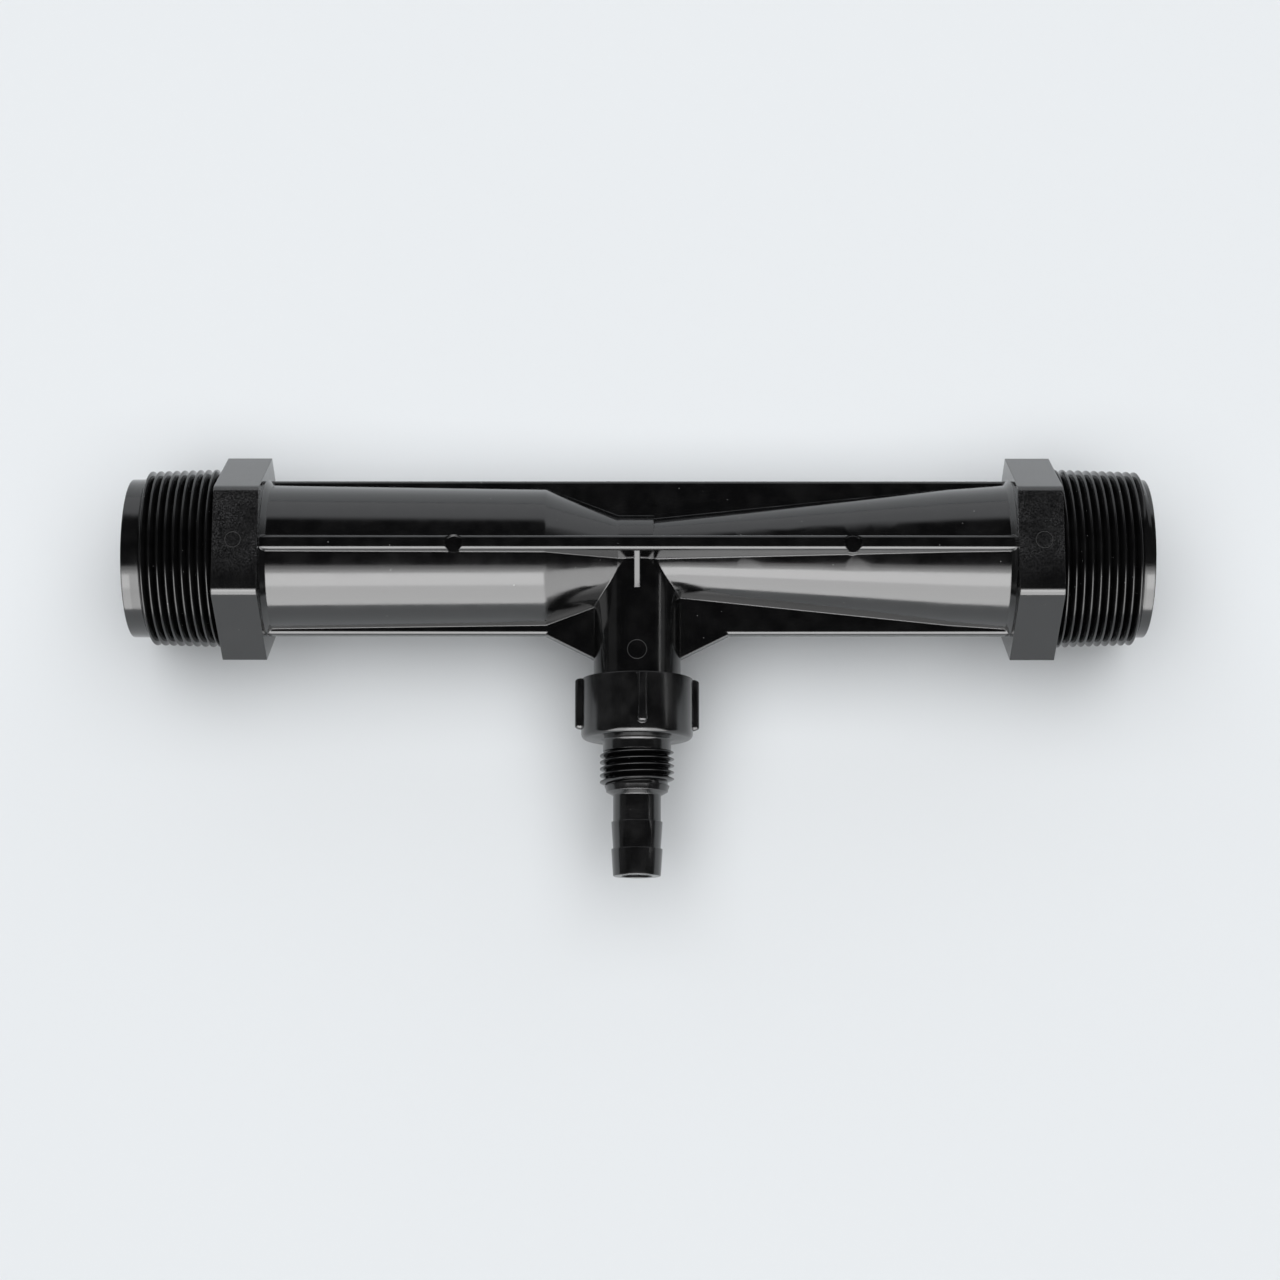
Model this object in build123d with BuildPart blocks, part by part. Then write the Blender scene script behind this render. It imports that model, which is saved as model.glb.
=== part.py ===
from build123d import *
import os
from math import cos, pi, radians, tan

# A plastic venturi injector with male pipe threads at both ends and a suction port on its side.
# Water flows along +X. The origin is where the flow axis meets the suction port's axis.
# The port points along -Y, and +Z is up from the bench that the injector lies on.
# All sizes are in millimetres.

# Body: the pipe run
inlet_reach = 139.4
outlet_reach = 140.0
lead_radius = 21.9
lead_length = 2.3
thread_taper = 1 / 32
hex_from_end = 25.1
hex_width = 12.2
hex_across_flats = 49.5
hex_corner_radius = 3.0
hex_root_chamfer = 1.5

# Body: the venturi's outside
tube_end_radius = 20.3
tube_waist_radius = 19.3
inlet_cone_start = 25.1
inlet_cone_end = 5.2
collar_radius = 11.85
collar_end = 4.6
outlet_cone_radius = 11.0
outlet_cone_end = 85.9

# Body: the flow passage
bore_radius = 16.8
nozzle_radius = 6.2
throat_radius = 6.9
suction_slot_width = 3.0
suction_slot_radius = 9.0

# Body: ribs
rib_reach = 21.8
rib_thickness = 4.1
rib_edge_radius = 1.2
rib_draft = 1.0
gusset_spread = 25.2
gusset_drop = 28.4
web_thickness = 1.55
web_drop = 10.4
ejector_pad_radius = 2.4
ejector_pad_level = 18.6
inlet_pad_place = 49.6
outlet_pad_place = 58.4

# Body: the suction port
boss_radius = 12.0
boss_reach = 46.0
boss_thread_root = 11.1
boss_guide = 1.4
suction_passage_radius = 2.3
suction_passage_overlap = 0.5
valve_chamber_radius = 6.0
valve_chamber_start = 29.0

# Suction cap
cap_top = 34.1
cap_radius = 15.35
cap_floor = 3.4
cap_edge_chamfer = 1.8
cap_clearance = 0.25
grip_count = 4
grip_width = 2.5
grip_reach = 17.15
grip_length = 14.0
grip_turn = -5.4
neck_radius = 9.4
neck_length = 3.2
hose_thread_length = 7.9
hose_land_length = 3.0
stem_radius = 6.6
stem_length = 7.95
barb_count = 2
barb_length = 7.4
barb_tip_radius = 6.55
barb_shoulder_radius = 7.1
cap_bore_radius = 4.2

# Check valve
seal_thickness = 2.0
seal_clearance = 0.4
seat_radius = 3.6
poppet_radius = 5.0
poppet_thickness = 1.8
poppet_clearance = 0.2
poppet_stem_radius = 2.2
poppet_stem_length = 6.0
spring_radius = 3.0
spring_wire = 0.7
spring_turns = 3.5
spring_clearance = 0.1

os.makedirs("parts", exist_ok=True)

inlet_end = -inlet_reach
outlet_end = outlet_reach
hex_radius = hex_across_flats / 2 / cos(pi / 6)
hex_inlet = inlet_end + hex_from_end
hex_outlet = outlet_end - hex_from_end
tube_inlet = hex_inlet + hex_width
tube_outlet = hex_outlet - hex_width
thread_end_radius = lead_radius + (hex_from_end - lead_length) * thread_taper
half_slot = suction_slot_width / 2


# Venturi body: one moulding
with BuildPart() as venturi_body:
    # the shell's outside, turned about the flow axis
    with BuildSketch(Plane.XY):
        with BuildLine():
            Polyline(
                (inlet_end, 0),
                (inlet_end, lead_radius),
                (inlet_end + lead_length, lead_radius),
                (hex_inlet, thread_end_radius),
                (tube_inlet, thread_end_radius),
                (tube_inlet, tube_end_radius + hex_root_chamfer),
                (tube_inlet + hex_root_chamfer, tube_end_radius),
                (-inlet_cone_start, tube_waist_radius),
                (-inlet_cone_end, collar_radius),
                (collar_end, collar_radius),
                (collar_end, outlet_cone_radius),
                (outlet_cone_end, tube_waist_radius),
                (tube_outlet - hex_root_chamfer, tube_end_radius),
                (tube_outlet, tube_end_radius + hex_root_chamfer),
                (tube_outlet, thread_end_radius),
                (hex_outlet, thread_end_radius),
                (outlet_end - lead_length, lead_radius),
                (outlet_end, lead_radius),
                (outlet_end, 0),
                close=True,
            )
        make_face()
    revolve(axis=Axis.X)

    # wrench hexes, each with a corner towards the port and a flat towards the bench;
    # the two corners on the mould's parting line stay sharp
    for hex_start in (hex_inlet, tube_outlet):
        with BuildSketch(Plane.YZ.offset(hex_start)) as hex_outline:
            RegularPolygon(radius=hex_radius, side_count=6)
            corner_rows = hex_outline.vertices().group_by(Axis.Y)
            fillet(corner_rows[0] + corner_rows[-1], radius=hex_corner_radius)
        extrude(amount=hex_width)

    # four ribs from hex to hex, thinner towards their rounded edges
    rib_root_thickness = rib_thickness + 2 * rib_reach * tan(radians(rib_draft))
    with BuildSketch(Plane.YZ.offset(tube_inlet)) as rib_outline:
        with PolarLocations(0, 4):
            Trapezoid(rib_root_thickness, rib_reach, 90 - rib_draft, align=(Align.CENTER, Align.MIN))
        fillet(rib_outline.vertices().sort_by_distance((0, 0))[-8:], radius=rib_edge_radius)
    extrude(amount=tube_outlet - tube_inlet)

    # the suction port's boss, stepped down where the cap screws on
    with BuildSketch(Plane.XZ):
        Circle(boss_radius)
    extrude(amount=cap_top + boss_guide)
    with BuildSketch(Plane.XZ):
        Circle(boss_thread_root)
    extrude(amount=boss_reach)

    # gussets from the lower rib to the boss
    with BuildSketch(Plane.XY):
        Polygon(
            (-gusset_spread, -rib_reach),
            (-boss_radius, -gusset_drop),
            (boss_radius, -gusset_drop),
            (gusset_spread, -rib_reach),
            (0, 0),
            align=None,
        )
    extrude(amount=rib_thickness / 2, both=True)

    # thin webs from the front and back ribs down to the boss
    with BuildSketch(Plane.YZ):
        Polygon(
            (0, 0),
            (0, rib_reach - rib_edge_radius),
            (-rib_thickness / 2, rib_reach - rib_edge_radius),
            (-web_drop, boss_radius),
            (-web_drop, 0),
            align=None,
        )
        mirror(about=Plane.XZ)
    extrude(amount=web_thickness / 2, both=True)

    # round ejector pads, set down into the front rib and wider than it
    with BuildSketch(Plane.XY.offset(ejector_pad_level)) as pad_outline:
        with Locations((-inlet_pad_place, 0), (outlet_pad_place, 0)):
            Circle(ejector_pad_radius)
    extrude(amount=rib_reach - ejector_pad_level, mode=Mode.SUBTRACT)
    extrude(pad_outline.sketch, amount=-ejector_pad_level)

    # the flow passage: nozzle, suction slot and diffuser
    with BuildSketch(Plane.XY):
        with BuildLine():
            Polyline(
                (inlet_end, 0),
                (inlet_end, bore_radius),
                (-inlet_cone_start, bore_radius),
                (-half_slot, nozzle_radius),
                (-half_slot, suction_slot_radius),
                (half_slot, suction_slot_radius),
                (half_slot, throat_radius),
                (outlet_cone_end, bore_radius),
                (outlet_end, bore_radius),
                (outlet_end, 0),
                close=True,
            )
        make_face()
    revolve(axis=Axis.X, mode=Mode.SUBTRACT)

    # the suction passage and the check valve's chamber above the boss's mouth
    passage_start = suction_slot_radius - suction_passage_overlap
    with BuildSketch(Plane.XZ.offset(passage_start)):
        Circle(suction_passage_radius)
    extrude(amount=valve_chamber_start - passage_start, mode=Mode.SUBTRACT)
    with BuildSketch(Plane.XZ.offset(valve_chamber_start)):
        Circle(valve_chamber_radius)
    extrude(amount=boss_reach - valve_chamber_start, mode=Mode.SUBTRACT)

venturi_body.part.label = "venturi_body"
export_step(venturi_body.part, "parts/venturi_body.step")


# Stations of the suction port, as distances down from the flow axis
cap_floor_top = boss_reach + seal_thickness
cap_underside = cap_floor_top + cap_floor
thread_start = cap_underside + neck_length
thread_end = thread_start + hose_thread_length
land_end = thread_end + hose_land_length
stem_end = land_end + stem_length
barb_end = stem_end + barb_count * barb_length

# Suction cap: the nut, the hose thread and the hose barb are one moulding
with BuildPart() as suction_cap:
    with BuildSketch(Plane.XY):
        with BuildLine():
            Polyline(
                (0, -cap_top),
                (cap_radius, -cap_top),
                (cap_radius, -cap_underside + cap_edge_chamfer),
                (cap_radius - cap_edge_chamfer, -cap_underside),
                (neck_radius, -cap_underside),
                (neck_radius, -land_end),
                (stem_radius, -land_end),
                (stem_radius, -stem_end),
            )
            last = (stem_radius, -stem_end)
            for barb in range(barb_count):
                shoulder = (barb_shoulder_radius, last[1])
                tip = (barb_tip_radius, last[1] - barb_length)
                Polyline(last, shoulder, tip)
                last = tip
            Polyline(last, (0, -barb_end), (0, -cap_top))
        make_face()
    revolve(axis=Axis.Y)

    # grip ribs down the nut's side
    with BuildSketch(Plane.XZ.offset(cap_top)):
        with PolarLocations(0, grip_count, start_angle=grip_turn):
            Rectangle(grip_reach, grip_width, align=(Align.MIN, Align.CENTER))
    extrude(amount=grip_length)

    # the nut's bore, clear of the boss, and the suction bore through the barb
    with BuildSketch(Plane.XZ.offset(cap_top)):
        Circle(boss_radius + cap_clearance)
    extrude(amount=cap_floor_top - cap_top, mode=Mode.SUBTRACT)
    with BuildSketch(Plane.XZ.offset(cap_floor_top)):
        Circle(cap_bore_radius)
    extrude(amount=barb_end - cap_floor_top, mode=Mode.SUBTRACT)

suction_cap.part.label = "suction_cap"
export_step(suction_cap.part, "parts/suction_cap.step")


# Seal washer: clamped between the boss and the cap's floor, and the poppet's seat
with BuildPart() as seal_washer:
    with BuildSketch(Plane.XZ.offset(boss_reach)):
        Circle(boss_radius + cap_clearance - seal_clearance)
        Circle(seat_radius, mode=Mode.SUBTRACT)
    extrude(amount=seal_thickness)

seal_washer.part.label = "seal_washer"
export_step(seal_washer.part, "parts/seal_washer.step")


# Check poppet: a disc that closes the washer's hole, with a stem that guides the spring
poppet_face = boss_reach - poppet_clearance
poppet_back = poppet_face - poppet_thickness
with BuildPart() as check_poppet:
    with BuildSketch(Plane.XZ.offset(poppet_back)):
        Circle(poppet_radius)
    extrude(amount=poppet_thickness)
    with BuildSketch(Plane.XZ.offset(poppet_back - poppet_stem_length)):
        Circle(poppet_stem_radius)
    extrude(amount=poppet_stem_length)

check_poppet.part.label = "check_poppet"
export_step(check_poppet.part, "parts/check_poppet.step")


# Check spring: round wire, drawn six-sided, between the chamber's shoulder and the poppet
wire_radius = spring_wire / 2
spring_top = valve_chamber_start + spring_clearance + wire_radius
spring_height = poppet_back - spring_clearance - wire_radius - spring_top
with BuildPart() as check_spring:
    with BuildLine():
        coil = Helix(
            pitch=spring_height / spring_turns,
            height=spring_height,
            radius=spring_radius,
            center=(0, -spring_top, 0),
            direction=(0, -1, 0),
        )
    with BuildSketch(Plane(origin=coil @ 0, z_dir=coil % 0)):
        RegularPolygon(radius=wire_radius, side_count=6)
    sweep(path=coil, is_frenet=True)

check_spring.part.label = "check_spring"
export_step(check_spring.part, "parts/check_spring.step")
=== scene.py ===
from math import cos, pi, radians, sin, tan

import bmesh
import bpy
from mathutils import Matrix, Vector


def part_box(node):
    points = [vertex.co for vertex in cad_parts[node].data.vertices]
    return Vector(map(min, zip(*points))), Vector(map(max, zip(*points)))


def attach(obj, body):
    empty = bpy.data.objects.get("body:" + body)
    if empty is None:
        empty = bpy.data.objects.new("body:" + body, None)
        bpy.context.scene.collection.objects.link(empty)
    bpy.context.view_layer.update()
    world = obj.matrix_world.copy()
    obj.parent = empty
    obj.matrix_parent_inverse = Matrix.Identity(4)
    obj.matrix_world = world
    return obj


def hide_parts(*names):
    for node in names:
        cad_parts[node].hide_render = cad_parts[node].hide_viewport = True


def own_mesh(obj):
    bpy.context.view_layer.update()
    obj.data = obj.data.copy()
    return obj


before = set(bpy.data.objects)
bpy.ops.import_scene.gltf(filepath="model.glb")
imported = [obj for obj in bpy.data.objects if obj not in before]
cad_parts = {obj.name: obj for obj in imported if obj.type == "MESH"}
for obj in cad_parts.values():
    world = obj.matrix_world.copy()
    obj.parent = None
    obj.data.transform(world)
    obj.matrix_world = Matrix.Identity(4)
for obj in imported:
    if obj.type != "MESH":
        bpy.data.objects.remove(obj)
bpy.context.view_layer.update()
MM = 0.001

# Places read from the frame
body_low, body_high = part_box("venturi_body")
inlet_end = body_low.x
outlet_end = body_high.x
floor_height = body_low.z

# Pipe threads at both ends, 11.5 crests to the inch, on sleeves that taper by 1 in 32 on the radius
pipe_pitch = 25.4 / 11.5 * MM
pipe_taper = 1 / 32
pipe_crest_radius = 23.95 * MM
pipe_crest_height = 1.7 * MM
pipe_crest_round = 0.32 * MM
pipe_sink = 0.45 * MM
hex_from_end = 25.1 * MM
inlet_crest = 5.15 * MM
outlet_crest = 2.6 * MM
thread_in_hex = 1.0 * MM
lead_in = 0.3
hidden_fade = 0.01

# Suction cap, as distances down from the flow axis and radii
cap_top = 34.1 * MM
cap_edge_place = 50.6 * MM
cap_underside = 51.05 * MM
cap_floor = 48.0 * MM
cap_radius = 15.35 * MM
cap_bore = 12.25 * MM
cap_edge_round = 1.4 * MM
neck_fillet = 1.0 * MM
neck_radius = 9.35 * MM
hose_root = 8.45 * MM
hose_start = 54.2 * MM
land_start = 63.55 * MM
land_end = 64.85 * MM
shoulder_start = 65.2 * MM
stem_start = 66.25 * MM
land_radius = 8.95 * MM
shoulder_radius = 8.47 * MM
stem_fillet = 0.45 * MM
stem_radius = 6.55 * MM
barb_places = (73.45 * MM, 80.85 * MM)
barb_end = 88.25 * MM
barb_shoulder = 7.0 * MM
barb_tip = 6.5 * MM
suction_bore = 4.2 * MM
edge_round = 0.15 * MM

# Grip ribs on the cap; each step of the top end is its depth and the shares of the width and the height
grip_turns = [radians(-5.4 + 90 * k) for k in range(4)]
grip_half_width = 1.25 * MM
grip_reach = 17.1 * MM
grip_foot = 14.7 * MM
grip_corner = 0.8 * MM
grip_top_steps = ((0, 0.8, 0.6), (0.2 * MM, 0.92, 0.85), (0.6 * MM, 1, 1))
grip_ball_place = 46.9 * MM
grip_ball_start = 1.6 * MM
grip_ball_growth = 1.12
grip_ball_angles = (-0.85 * pi / 2, 0.97 * pi / 2)
grip_ball_steps = 12

# Thread on the suction cap, 14 crests to the inch
hose_pitch = 25.4 / 14 * MM
hose_crest_radius = 10.2 * MM
hose_crest_round = 0.16 * MM
hose_first_crest = 54.42 * MM
hose_turns = 5.1
hose_fades = (0.3, 0.35)
thread_sink = 0.3 * MM

# Coarse thread between the boss and the cap
cap_pitch = 3.0 * MM
cap_thread_start = 36.9 * MM
cap_thread_turns = 2.6
cap_thread_height = 0.85 * MM
cap_thread_round = 0.22 * MM
boss_root = 11.1 * MM

# Check spring
spring_top = 29.45 * MM
spring_bottom = 43.55 * MM
spring_turns = 3.5
spring_radius = 3.0 * MM
spring_wire_radius = 0.35 * MM
wire_steps = 12
coil_steps = 56

# Seam where the inlet tube meets the nozzle's cone: place and rounding
seam_place = -25.05 * MM
seam_round = 1.8 * MM
seam_rib_clearance = (4.0 * MM, 7.0 * MM)
seam_width = (2.0 * MM, 3.0 * MM)

# Round marks that the mould's ejector pins left: place and radius. Their rims get a real bump and also a
# painted highlight, a lighter colour along each rim
pin_marks = (
    (-108.67 * MM, 0, 24.75 * MM, 2.1 * MM),
    (109.48 * MM, 0, 24.75 * MM, 2.25 * MM),
    (0, -27.6 * MM, 12.0 * MM, 2.6 * MM),
)
mark_half_width = 0.16 * MM

# Scuffed stretch of the hexes, as distances from the middle, and where their scuffs fade out in front
scuffed_stretch = (102.0 * MM, 115.0 * MM)
scuff_fading = (-11.0 * MM, -3.0 * MM)

# Textures of the black plastic, in waves a metre, and the stretch that draws them out along X
grain_scale = 2600
mottle_scale = 190
streak_scale = 420
streak_stretch = (0.06, 1, 1)
blotch_scale = 2600
cloud_scale = 110
scratch_scale = 900
scratch_stretch = (0.05, 1, 1)
scratch_turns = (radians(35), radians(-50))
dust_scale = 600
dust_size = 0.07
scuff_colour = (0.035, 0.035, 0.036)
# Painted highlight: the lighter colour laid along the rims of the pin marks
rim_highlight_colour = (0.07, 0.07, 0.07)
dust_colour = (0.25, 0.25, 0.25)


def material(name, colour, roughness):
    """A new node material, and its nodes, links and Principled shader."""
    made = bpy.data.materials.new(name)
    made.use_nodes = True
    nodes = made.node_tree.nodes
    shader = nodes["Principled BSDF"]
    shader.inputs["Base Color"].default_value = (*colour, 1)
    shader.inputs["Roughness"].default_value = roughness
    return made, nodes, made.node_tree.links, shader


def noise(nodes, links, coordinates, scale, detail=4, stretch=(1, 1, 1), turn=0):
    """A noise texture in object space; a stretch below 1 draws it out along that axis."""
    mapping = nodes.new("ShaderNodeMapping")
    mapping.inputs["Scale"].default_value = stretch
    mapping.inputs["Rotation"].default_value = (0, 0, turn)
    links.new(coordinates, mapping.inputs["Vector"])
    texture = nodes.new("ShaderNodeTexNoise")
    texture.inputs["Scale"].default_value = scale
    texture.inputs["Detail"].default_value = detail
    links.new(mapping.outputs["Vector"], texture.inputs["Vector"])
    return texture.outputs["Fac"]


def spread(nodes, links, value, low, high, new_low, new_high, smooth=False):
    """Maps a value from one range to another, held at both ends."""
    node = nodes.new("ShaderNodeMapRange")
    if smooth:
        node.interpolation_type = "SMOOTHSTEP"
    node.inputs["From Min"].default_value = low
    node.inputs["From Max"].default_value = high
    node.inputs["To Min"].default_value = new_low
    node.inputs["To Max"].default_value = new_high
    links.new(value, node.inputs["Value"])
    return node.outputs["Result"]


def split(nodes, links, vector):
    """The X, Y and Z of a vector, by name."""
    node = nodes.new("ShaderNodeSeparateXYZ")
    links.new(vector, node.inputs["Vector"])
    return node.outputs


def maths(nodes, links, operation, first, second=None, third=None):
    """A Math node on sockets or plain numbers."""
    node = nodes.new("ShaderNodeMath")
    node.operation = operation
    for socket, value in zip(node.inputs, (first, second, third)):
        if value is None:
            continue
        if isinstance(value, (int, float)):
            socket.default_value = value
        else:
            links.new(value, socket)
    return node.outputs[0]


def blend_colours(nodes, links, factor, first, second):
    """A mix of two colours; each is a plain colour or a socket."""
    node = nodes.new("ShaderNodeMix")
    node.data_type = "RGBA"
    links.new(factor, node.inputs["Factor"])
    for socket, colour in ((node.inputs["A"], first), (node.inputs["B"], second)):
        if isinstance(colour, tuple):
            socket.default_value = (*colour, 1)
        else:
            links.new(colour, socket)
    return node.outputs["Result"]


def bump(nodes, links, height, distance, strength, normal=None):
    """A Bump node over an optional earlier normal."""
    node = nodes.new("ShaderNodeBump")
    node.inputs["Strength"].default_value = strength
    node.inputs["Distance"].default_value = distance
    links.new(height, node.inputs["Height"])
    if normal:
        links.new(normal, node.inputs["Normal"])
    return node.outputs["Normal"]


def ring_marks(nodes, links, coordinates, marks, half_width):
    """1 along the rim of each round mark, and 0 away from it."""
    total = None
    for x, y, z, radius in marks:
        away = nodes.new("ShaderNodeVectorMath")
        away.operation = "DISTANCE"
        away.inputs[1].default_value = (x, y, z)
        links.new(coordinates, away.inputs[0])
        past_rim = maths(nodes, links, "SUBTRACT", away.outputs["Value"], radius)
        rim = spread(nodes, links, maths(nodes, links, "ABSOLUTE", past_rim), 0, half_width, 1, 0)
        total = rim if total is None else maths(nodes, links, "ADD", total, rim)
    return total


def scuffs(nodes, links, coordinates, stretch):
    """How much handling has scuffed the surface, from 0 to 1, in a stretch of distances from the middle."""
    places = split(nodes, links, coordinates)
    off_middle = maths(nodes, links, "ABSOLUTE", places["X"])
    past_start = maths(nodes, links, "GREATER_THAN", off_middle, stretch[0])
    before_end = maths(nodes, links, "LESS_THAN", off_middle, stretch[1])
    inside = maths(nodes, links, "MULTIPLY", past_start, before_end)
    blotches = spread(nodes, links, noise(nodes, links, coordinates, blotch_scale, 5), 0.38, 0.7, 0, 1)
    ways = []
    for turn in scratch_turns:
        drawn_out = noise(nodes, links, coordinates, scratch_scale, 2, scratch_stretch, turn)
        ways.append(spread(nodes, links, drawn_out, 0.62, 0.72, 0, 1))
    scratches = maths(nodes, links, "MULTIPLY", maths(nodes, links, "MAXIMUM", *ways), 0.5)
    marked = maths(nodes, links, "MAXIMUM", blotches, scratches)
    cloud = spread(nodes, links, noise(nodes, links, coordinates, cloud_scale, 3), 0.35, 0.6, 0.5, 1)
    fading = spread(nodes, links, places["Y"], *scuff_fading, 0.15, 1)
    worn = maths(nodes, links, "MULTIPLY", maths(nodes, links, "MULTIPLY", cloud, fading), marked)
    return maths(nodes, links, "MULTIPLY", inside, worn)


def dust_specks(nodes, links, coordinates, share):
    """1 in the middle of some cells and 0 elsewhere; share says how many of the cells hold a speck."""
    cells = nodes.new("ShaderNodeTexVoronoi")
    cells.inputs["Scale"].default_value = dust_scale
    links.new(coordinates, cells.inputs["Vector"])
    chance = nodes.new("ShaderNodeSeparateColor")
    links.new(cells.outputs["Color"], chance.inputs["Color"])
    chosen = maths(nodes, links, "GREATER_THAN", chance.outputs["Red"], 1 - share)
    middle = maths(nodes, links, "LESS_THAN", cells.outputs["Distance"], dust_size)
    return maths(nodes, links, "MULTIPLY", chosen, middle)


def seam_radius(nodes, links, coordinates, seam, edge):
    """The rounding of edges, which is wider on the tube's seam away from the ribs."""
    places = split(nodes, links, coordinates)
    off_seam = maths(nodes, links, "ABSOLUTE", maths(nodes, links, "SUBTRACT", places["X"], seam))
    sideways = [maths(nodes, links, "ABSOLUTE", places[axis]) for axis in ("Y", "Z")]
    off_rib = maths(nodes, links, "MINIMUM", *sideways)
    on_tube = spread(nodes, links, off_rib, *seam_rib_clearance, 0, 1)
    on_seam = spread(nodes, links, off_seam, *seam_width, 1, 0)
    return spread(nodes, links, maths(nodes, links, "MULTIPLY", on_tube, on_seam), 0, 1, edge, seam_round)


def moulded_plastic(name, colours, roughness, edge, gloss=0.8, dust=0.06, marks=(), scuffed=(), seam=None):
    """Black moulded plastic: polished, with fine grain, flow streaks, soft edges and a few specks of dust.

    dust is the share of the cells of dust that hold a speck. scuffed gives the stretch of distances from the
    middle, along X, where handling has left pale scuffs. seam is the place along X of the tube's soft seam.
    """
    deep, worn = colours
    made, nodes, links, shader = material(name, deep, roughness)
    shader.inputs["Specular IOR Level"].default_value = gloss
    coordinates = nodes.new("ShaderNodeTexCoord").outputs["Object"]

    grain = noise(nodes, links, coordinates, grain_scale, 3)
    mottle = noise(nodes, links, coordinates, mottle_scale, 5)
    streak = noise(nodes, links, coordinates, streak_scale, 3, streak_stretch)

    colour = blend_colours(nodes, links, spread(nodes, links, mottle, 0.4, 0.75, 0, 1), deep, worn)
    if scuffed:
        worn_away = scuffs(nodes, links, coordinates, scuffed)
        colour = blend_colours(nodes, links, worn_away, colour, scuff_colour)
    if marks:
        # The rims of the pin marks are painted lighter, a painted highlight; the bump on them below is real
        # shape
        rims = ring_marks(nodes, links, coordinates, marks, mark_half_width)
        colour = blend_colours(nodes, links, maths(nodes, links, "MULTIPLY", rims, 0.5), colour, rim_highlight_colour)
    colour = blend_colours(nodes, links, dust_specks(nodes, links, coordinates, dust), colour, dust_colour)
    links.new(colour, shader.inputs["Base Color"])

    wear = maths(nodes, links, "MULTIPLY_ADD", mottle, 0.12, roughness - 0.06)
    links.new(maths(nodes, links, "MULTIPLY_ADD", streak, 0.06, wear), shader.inputs["Roughness"])

    bevel = nodes.new("ShaderNodeBevel")
    bevel.samples = 8
    if seam is None:
        bevel.inputs["Radius"].default_value = edge
    else:
        links.new(seam_radius(nodes, links, coordinates, seam, edge), bevel.inputs["Radius"])
    normal = bevel.outputs["Normal"]
    if marks:
        normal = bump(nodes, links, rims, 0.08 * MM, 0.6, normal)
    height = maths(nodes, links, "MULTIPLY_ADD", grain, 0.25, streak)
    links.new(bump(nodes, links, height, 0.02 * MM, 0.2, normal), shader.inputs["Normal"])
    return made


def dull_rubber():
    """Matte black rubber with a fine even grain."""
    made, nodes, links, shader = material("seal_rubber", (0.02, 0.02, 0.02), 0.75)
    coordinates = nodes.new("ShaderNodeTexCoord").outputs["Object"]
    grain = noise(nodes, links, coordinates, 1800, 4)
    links.new(spread(nodes, links, grain, 0.3, 0.7, 0.65, 0.85), shader.inputs["Roughness"])
    links.new(bump(nodes, links, grain, 0.03 * MM, 0.4), shader.inputs["Normal"])
    return made


def natural_plastic():
    """Unpainted white plastic, slightly cloudy."""
    made, nodes, links, shader = material("poppet_plastic", (0.75, 0.74, 0.7), 0.4)
    coordinates = nodes.new("ShaderNodeTexCoord").outputs["Object"]
    cloud = noise(nodes, links, coordinates, 500, 4)
    tint = blend_colours(nodes, links, cloud, (0.7, 0.69, 0.64), (0.8, 0.79, 0.76))
    links.new(tint, shader.inputs["Base Color"])
    links.new(spread(nodes, links, cloud, 0.3, 0.7, 0.32, 0.48), shader.inputs["Roughness"])
    return made


def drawn_steel():
    """Bright drawn steel wire."""
    made, nodes, links, shader = material("spring_steel", (0.62, 0.62, 0.64), 0.3)
    shader.inputs["Metallic"].default_value = 1
    coordinates = nodes.new("ShaderNodeTexCoord").outputs["Object"]
    drawn = noise(nodes, links, coordinates, 3000, 2)
    links.new(spread(nodes, links, drawn, 0.3, 0.7, 0.22, 0.4), shader.inputs["Roughness"])
    return made


def pale_floor():
    """Plain pale floor with a slight unevenness."""
    made, nodes, links, shader = material("floor", (0.735, 0.76, 0.78), 0.9)
    coordinates = nodes.new("ShaderNodeTexCoord").outputs["Object"]
    cloud = noise(nodes, links, coordinates, 3, 2)
    tint = blend_colours(nodes, links, cloud, (0.725, 0.75, 0.77), (0.745, 0.77, 0.79))
    links.new(tint, shader.inputs["Base Color"])
    shader.inputs["Specular IOR Level"].default_value = 0.1
    return made


def strip_faces(first, ring_count, count, closed):
    """Faces between rings of equally many points; closed joins the last ring to the first one."""
    faces = []
    for ring in range(ring_count if closed else ring_count - 1):
        low = first + ring * count
        high = first + (ring + 1) % ring_count * count
        for k in range(count):
            after = (k + 1) % count
            faces.append((low + k, low + after, high + after, high + k))
    if not closed:
        last = first + (ring_count - 1) * count
        faces.append(tuple(range(first, first + count)))
        faces.append(tuple(range(last, last + count)))
    return faces


def solid_mesh(name, parts):
    """One mesh of closed shells; each part is its rings of points, and whether they close in a circle."""
    points = []
    faces = []
    for rings, closed in parts:
        faces += strip_faces(len(points), len(rings), len(rings[0]), closed)
        points += [point for ring in rings for point in ring]
    mesh = bpy.data.meshes.new(name)
    mesh.from_pydata(points, [], faces)
    shape = bmesh.new()
    shape.from_mesh(mesh)
    bmesh.ops.recalc_face_normals(shape, faces=shape.faces)
    shape.to_mesh(mesh)
    shape.free()
    return mesh


def new_piece(name, parts, body, finish, at_port=False):
    """A new object of closed shells that rides on a body; its sharp edges stay sharp.

    Shells are made about the X axis, and at_port turns them so that the axis runs out of the port, along -Y.
    """
    mesh = solid_mesh(name, parts)
    if at_port:
        mesh.transform(Matrix.Rotation(-pi / 2, 4, "Z"))
    piece = bpy.data.objects.new(name, mesh)
    bpy.context.scene.collection.objects.link(piece)
    mesh.materials.append(finish)
    mesh.polygons.foreach_set("use_smooth", [True] * len(mesh.polygons))
    mesh.set_sharp_from_angle(angle=radians(35))
    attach(piece, body)
    return piece


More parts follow.
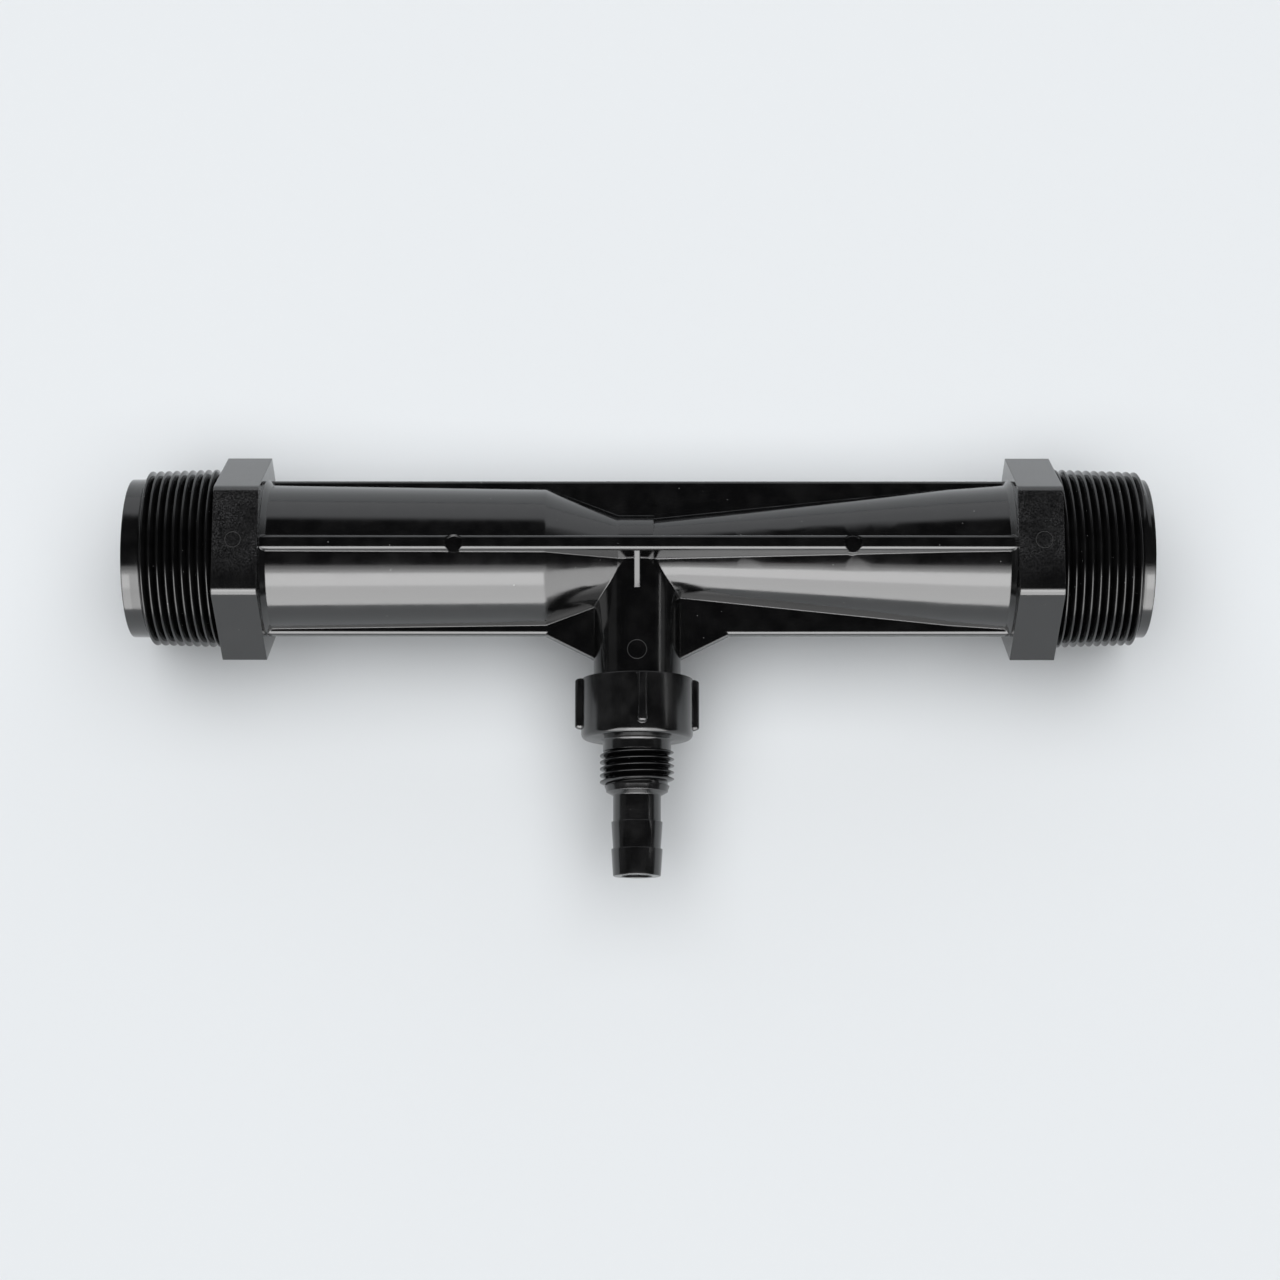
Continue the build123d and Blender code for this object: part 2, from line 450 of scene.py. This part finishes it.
def ridge_profile(pitch, height, crest_round, sink, arc_steps=6):
    """Places along the axis and heights across one thread ridge of 60 degrees with a round crest."""
    half_angle = radians(30)
    flank = pi / 2 - half_angle
    points = []
    for k in range(arc_steps + 1):
        turn = -flank + 2 * flank * k / arc_steps
        points.append((crest_round * sin(turn), height - crest_round + crest_round * cos(turn)))
    almost_half = 0.497 * pitch
    base = min(points[-1][0] + points[-1][1] * tan(half_angle), almost_half)
    return [(-base, -sink), (-base, 0)] + points + [(base, 0), (base, -sink)]


def helix_rings(along, start_angle, turns, pitch, radius, profile, taper=0, fades=(0.3, 0.3), inward=False):
    """Rings of a thread ridge about the X axis: along is its axial start, and radius its root there.

    fades are the turns over which it rises at its start and sinks at its end.
    """
    rings = []
    steps = 120
    run_out_sink = 0.1 * MM
    side = -1 if inward else 1
    for k in range(int(turns * steps) + 1):
        turned = k / steps
        angle = start_angle + 2 * pi * turned
        left = max(min(turned / fades[0], (turns - turned) / fades[1], 1), 0)
        grown = left * left * (3 - 2 * left)
        ring = []
        for offset, height in profile:
            x = along + pitch * turned + offset
            lift = height * grown if height > 0 else height
            r = radius + taper * pitch * turned + side * (lift - (1 - grown) * run_out_sink)
            ring.append((x, r * cos(angle), r * sin(angle)))
        rings.append(ring)
    return rings


def rounded_loop(corners, arc_steps=5):
    """A closed outline through corners of (place, radius, rounding), with an arc at each rounded corner."""
    loop = []
    for k, (place, radius, rounding) in enumerate(corners):
        here = Vector((place, radius))
        if not rounding:
            loop.append(here)
            continue
        back = (Vector(corners[k - 1][:2]) - here).normalized()
        ahead = (Vector(corners[(k + 1) % len(corners)][:2]) - here).normalized()
        half = back.angle(ahead) / 2
        centre = here + (back + ahead).normalized() * rounding / sin(half)
        first = (here + back * rounding / tan(half) - centre).normalized()
        last = (here + ahead * rounding / tan(half) - centre).normalized()
        loop += [centre + rounding * first.slerp(last, step / arc_steps) for step in range(arc_steps + 1)]
    return loop


def turned_rings(loop, steps=160):
    """Rings that turn a closed outline about the X axis."""
    rings = []
    for k in range(steps):
        angle = 2 * pi * k / steps
        rings.append([(place, radius * cos(angle), radius * sin(angle)) for place, radius in loop])
    return rings


def grip_rings(turn):
    """Rings of one grip rib along the cap, with rounded corners and a ball at its lower end."""
    outline = [(-grip_half_width, grip_foot)]
    for side, first_quarter in ((-1, pi), (1, pi / 2)):
        centre = (side * (grip_half_width - grip_corner), grip_reach - grip_corner)
        for k in range(5):
            angle = first_quarter - pi / 2 * k / 4
            outline.append((centre[0] + grip_corner * cos(angle), centre[1] + grip_corner * sin(angle)))
    outline.append((grip_half_width, grip_foot))

    sections = [(cap_top + depth, width, height) for depth, width, height in grip_top_steps]
    sections.append((grip_ball_place - grip_ball_start, 1, 1))
    ball = grip_half_width * grip_ball_growth
    first, last = grip_ball_angles
    for k in range(grip_ball_steps + 1):
        angle = first + (last - first) * k / grip_ball_steps
        size = max(grip_ball_growth * cos(angle), 1 if angle < 0 else 0.05)
        sections.append((grip_ball_place + ball * sin(angle), size, min(size, 1)))
    rings = []
    for place, width, height in sections:
        ring = []
        for across, out in outline:
            wide = across * width
            high = grip_foot + (out - grip_foot) * height
            ring.append((place, high * cos(turn) - wide * sin(turn), high * sin(turn) + wide * cos(turn)))
        rings.append(ring)
    return rings


body_colours = ((0.0025, 0.0025, 0.0027), (0.006, 0.006, 0.0062))
cap_colours = ((0.003, 0.003, 0.0032), (0.009, 0.009, 0.0092))
body_plastic = moulded_plastic(
    "body_plastic", body_colours, 0.11, 0.5 * MM, marks=pin_marks, scuffed=scuffed_stretch, seam=seam_place
)
cap_plastic = moulded_plastic("cap_plastic", cap_colours, 0.17, 0.25 * MM)
thread_plastic = moulded_plastic("thread_plastic", body_colours, 0.13, 0.04 * MM, gloss=0.5, dust=0.35)
spring_steel = drawn_steel()
finishes = {
    "venturi_body": body_plastic,
    "suction_cap": cap_plastic,
    "seal_washer": dull_rubber(),
    "check_poppet": natural_plastic(),
    "check_spring": spring_steel,
}
for node, finish in finishes.items():
    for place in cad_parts[node].material_slots:
        place.material = finish

# Pipe threads, which run on into the hexes
pipe_profile = ridge_profile(pipe_pitch, pipe_crest_height, pipe_crest_round, pipe_sink)
pipe_root = pipe_crest_radius - pipe_crest_height
inlet_start = inlet_end + inlet_crest - lead_in * pipe_pitch
inlet_turns = (inlet_end + hex_from_end + thread_in_hex - inlet_start) / pipe_pitch
inlet_rings = helix_rings(
    inlet_start,
    -2 * pi * lead_in,
    inlet_turns,
    pipe_pitch,
    pipe_root + pipe_taper * (inlet_start - inlet_end),
    pipe_profile,
    pipe_taper,
    (lead_in, hidden_fade),
)
new_piece("inlet_thread", [(inlet_rings, False)], "body", thread_plastic)

outlet_stop = outlet_end - outlet_crest + lead_in * pipe_pitch
outlet_turns = (outlet_stop - (outlet_end - hex_from_end - thread_in_hex)) / pipe_pitch
outlet_start = outlet_stop - outlet_turns * pipe_pitch
outlet_rings = helix_rings(
    outlet_start,
    2 * pi * (lead_in - outlet_turns),
    outlet_turns,
    pipe_pitch,
    pipe_root + pipe_taper * (outlet_end - outlet_start),
    pipe_profile,
    -pipe_taper,
    (hidden_fade, lead_in),
)
new_piece("outlet_thread", [(outlet_rings, False)], "body", thread_plastic)

# Suction cap: nut, neck, land, stem and barbs in one moulding, bored through
cap_corners = [
    (cap_top, cap_bore, 2 * edge_round),
    (cap_top, cap_radius, 2 * edge_round),
    (cap_edge_place, cap_radius, cap_edge_round),
    (cap_underside, neck_radius, neck_fillet),
    (hose_start, neck_radius, edge_round),
    (hose_start, hose_root, 0),
    (land_start, hose_root, 0),
    (land_start, land_radius, edge_round),
    (land_end, shoulder_radius, 0),
    (shoulder_start, shoulder_radius, edge_round),
    (stem_start, stem_radius, stem_fillet),
]
for barb_place, barb_stop in zip(barb_places, (*barb_places[1:], barb_end)):
    cap_corners += [
        (barb_place, cap_corners[-1][1], 0),
        (barb_place, barb_shoulder, edge_round),
        (barb_stop, barb_tip, 0),
    ]
cap_corners[-1] = (barb_end, barb_tip, 2 * edge_round)
cap_corners += [
    (barb_end, suction_bore, edge_round),
    (cap_floor, suction_bore, edge_round),
    (cap_floor, cap_bore, 0),
]
cap_parts = [(turned_rings(rounded_loop(cap_corners)), True)]
cap_parts += [(grip_rings(turn), False) for turn in grip_turns]
cap_moulding = new_piece("cap_moulding", cap_parts, "cap", cap_plastic, at_port=True)
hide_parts("suction_cap")

hose_profile = ridge_profile(hose_pitch, hose_crest_radius - hose_root, hose_crest_round, thread_sink)
hose_rings = helix_rings(
    hose_first_crest - hose_pitch / 4,
    -pi / 2,
    hose_turns,
    hose_pitch,
    hose_root,
    hose_profile,
    fades=hose_fades,
)
new_piece("hose_thread", [(hose_rings, False)], "cap", thread_plastic, at_port=True)

# Coarse threads of the boss and the cap, half a pitch apart
coarse_profile = ridge_profile(cap_pitch, cap_thread_height, cap_thread_round, thread_sink)
boss_rings = helix_rings(cap_thread_start, 0, cap_thread_turns, cap_pitch, boss_root, coarse_profile)
new_piece("boss_thread", [(boss_rings, False)], "body", body_plastic, at_port=True)
cap_rings = helix_rings(
    cap_thread_start + cap_pitch / 2,
    0,
    cap_thread_turns,
    cap_pitch,
    cap_bore,
    coarse_profile,
    inward=True,
)
new_piece("cap_thread", [(cap_rings, False)], "cap", cap_plastic, at_port=True)

# Check spring: round wire
wire_outline = []
for k in range(wire_steps):
    turn = 2 * pi * k / wire_steps
    wire_outline.append((spring_wire_radius * cos(turn), spring_radius + spring_wire_radius * sin(turn)))
coil_rings = []
for k in range(int(spring_turns * coil_steps) + 1):
    turned = k / coil_steps
    angle = 2 * pi * turned
    along = spring_top + (spring_bottom - spring_top) * turned / spring_turns
    ring = [(along + place, radius * cos(angle), radius * sin(angle)) for place, radius in wire_outline]
    coil_rings.append(ring)
coil = new_piece("spring_coil", [(coil_rings, False)], "body", spring_steel, at_port=True)
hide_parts("check_spring")
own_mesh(coil)

# Plain pale floor
half_floor = 6.0
floor_mesh = bpy.data.meshes.new("floor")
floor_signs = ((-1, -1), (1, -1), (1, 1), (-1, 1))
floor_corners = [(x * half_floor, y * half_floor, floor_height) for x, y in floor_signs]
floor_mesh.from_pydata(floor_corners, [], [(0, 1, 2, 3)])
floor = bpy.data.objects.new("floor", floor_mesh)
floor_mesh.materials.append(pale_floor())
bpy.context.scene.collection.objects.link(floor)


def softbox(name, direction, distance, width, height, brightness, mirrored=True, lights=True):
    """An area lamp that faces the object; brightness is what its surface shows, with white at 1.

    mirrored says that gloss shows it, and lights that it lights what it faces.
    """
    lamp = bpy.data.lights.new(name, "AREA")
    lamp.shape = "RECTANGLE"
    lamp.size = width
    lamp.size_y = height
    lamp.energy = brightness * pi * width * height
    holder = bpy.data.objects.new(name, lamp)
    towards = Vector(direction).normalized()
    holder.location = towards * distance
    holder.rotation_euler = towards.to_track_quat("Z", "Y").to_euler()
    holder.visible_camera = False
    holder.visible_glossy = mirrored
    holder.visible_diffuse = lights
    bpy.context.scene.collection.objects.link(holder)


def lamp_direction(from_vertical, towards):
    """The direction to a lamp that leans by an angle from the vertical towards a compass direction."""
    x, y = towards
    return (x * sin(radians(from_vertical)), y * sin(radians(from_vertical)), cos(radians(from_vertical)))


# Lamps that only gloss shows: lean from the vertical, towards, width, height and brightness. The tall
# softbox in front is brighter in its upper half and in its middle.
front = (0, -1)
back = (0, 1)
left = (-1, 0)
right_back = (0.98, 0.2)
gloss_distance = 2.0
gloss_lamps = (
    ("front_edge", 26, front, 3.0, 0.21, 1.6),
    ("front_rise", 32, front, 3.0, 0.21, 3.2),
    ("front_high", 45.5, front, 1.15, 0.75, 3.4),
    ("front_low", 74, front, 1.15, 1.25, 1.5),
    ("front_wide", 63.5, front, 3.8, 2.2, 4.2),
    ("right_strip", 62.5, right_back, 0.6, 0.06, 3.4),
    ("right_card", 71, right_back, 0.6, 0.4, 0.2),
    ("left_card", 68, left, 1.6, 1.0, 0.06),
)
for name, lean, towards, width, height, brightness in gloss_lamps:
    softbox(name, lamp_direction(lean, towards), gloss_distance, width, height, brightness, lights=False)
softbox("overhead", lamp_direction(2, back), 2.3, 4.0, 4.0, 2.1, mirrored=False)

# World: pale near the horizon behind the injector, and nearly black overhead
world = bpy.data.worlds.new("studio")
bpy.context.scene.world = world
world.use_nodes = True
nodes, links = world.node_tree.nodes, world.node_tree.links
sky_places = split(nodes, links, nodes.new("ShaderNodeTexCoord").outputs["Generated"])
ramp = spread(nodes, links, sky_places["Z"], 0.5, 0.64, 1, 0, smooth=True)
wall = spread(nodes, links, sky_places["Y"], 0.3, 0.65, 0.04, 0.95)
glow = maths(nodes, links, "MULTIPLY_ADD", ramp, wall, 0.01)
links.new(glow, nodes["Background"].inputs["Strength"])
nodes["Background"].inputs["Color"].default_value = (0.95, 0.97, 1, 1)

# Camera at the photograph's angle: above the injector, a little in front of it
camera_place = Vector((2.24, -156.8, 736.01)) * MM
camera_turns = ((0.113, "Y"), (10.306, "X"), (0.045, "Z"))
camera_data = bpy.data.cameras.new("camera")
camera_data.sensor_width = 36
camera_data.lens = 76.2
camera = bpy.data.objects.new("camera", camera_data)
bpy.context.scene.collection.objects.link(camera)
camera_matrix = Matrix.Translation(camera_place)
for degrees, axis in camera_turns:
    camera_matrix = camera_matrix @ Matrix.Rotation(radians(degrees), 4, axis)
camera.matrix_world = camera_matrix
bpy.context.scene.camera = camera
bpy.context.scene.view_settings.view_transform = "Standard"
